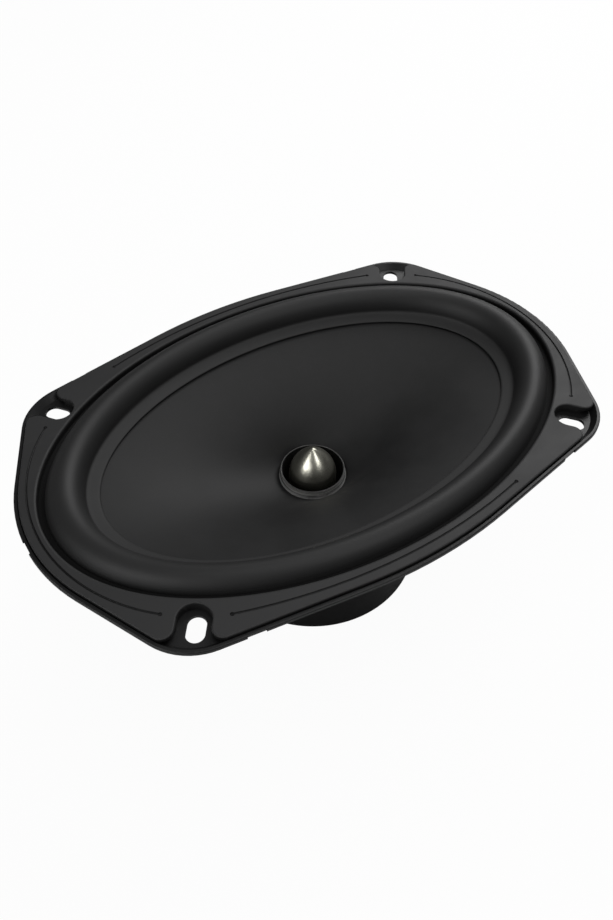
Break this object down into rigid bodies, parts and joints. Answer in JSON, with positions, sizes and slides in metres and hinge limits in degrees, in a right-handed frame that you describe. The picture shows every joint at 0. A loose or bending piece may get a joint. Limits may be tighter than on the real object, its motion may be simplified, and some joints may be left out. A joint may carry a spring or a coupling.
{
  "type": "car speaker",
  "caption": "Oval car loudspeaker with a spoked steel basket, soft trim ring, rubber half-roll surround, curved cone, fixed metal phase plug and covered magnet; the cone slides along its axis.",
  "frame": {"origin": "centre of the four screw slots, on the flange's rear seating face", "axes": "+Z out of the front of the speaker along the cone's travel, +X along the long axis of the oval"},
  "size_m": [0.2366, 0.162, 0.0891],
  "materials": {
    "black_painted_steel": "satin black paint",
    "trim_ring_rubber": "fine matte",
    "surround_rubber": "soft satin",
    "cone_polymer": "smooth matte",
    "former_foil": "dull foil with glue marks",
    "copper_wire": "enamelled copper",
    "grey_glue": "matte, streaky bead",
    "solder": "bright",
    "spider_cloth": "resin-treated woven cloth",
    "black_plastic": "matte",
    "zinc_plated_steel": "bright zinc",
    "plated_steel_plate": "zinc plate",
    "ferrite": "ground ceramic ferrite",
    "brushed_metal": "turned and lightly brushed, warm grey",
    "cover_rubber": "smooth satin black",
    "board_laminate": "pressed laminate",
    "plated_brass": "tinned brass",
    "tinsel_braid": "tinsel braid"
  },
  "bodies": {
    "chassis": {"basket": "black_painted_steel", "trim_ring": "trim_ring_rubber", "surround": "surround_rubber", "spider": "spider_cloth", "spider_spacer_ring": "black_plastic", "basket_screws": "zinc_plated_steel", "top_plate": "plated_steel_plate", "ferrite_magnet": "ferrite", "pole_yoke": "plated_steel_plate", "phase_plug": "brushed_metal", "plug_stud": "zinc_plated_steel", "magnet_cover": "cover_rubber", "terminal_board": "board_laminate", "terminal_board_rivets": "zinc_plated_steel", "terminal_positive": "plated_brass", "terminal_negative": "plated_brass", "tinsel_lead_positive": "tinsel_braid", "tinsel_lead_negative": "tinsel_braid"},
    "moving_cone": {"cone": "cone_polymer", "voice_coil_former": "former_foil", "voice_coil_winding": "copper_wire", "neck_glue_bead": "grey_glue", "lead_solder_joints": "solder"}
  },
  "joints": [
    {"name": "cone_travel", "type": "slide", "parent": "chassis", "child": "moving_cone", "axis": [0, 0, 1], "range_m": [-0.005, 0.005], "stiffness_N_per_m": 2500, "deforming": ["surround", "spider", "tinsel_lead_positive", "tinsel_lead_negative"]}
  ]
}
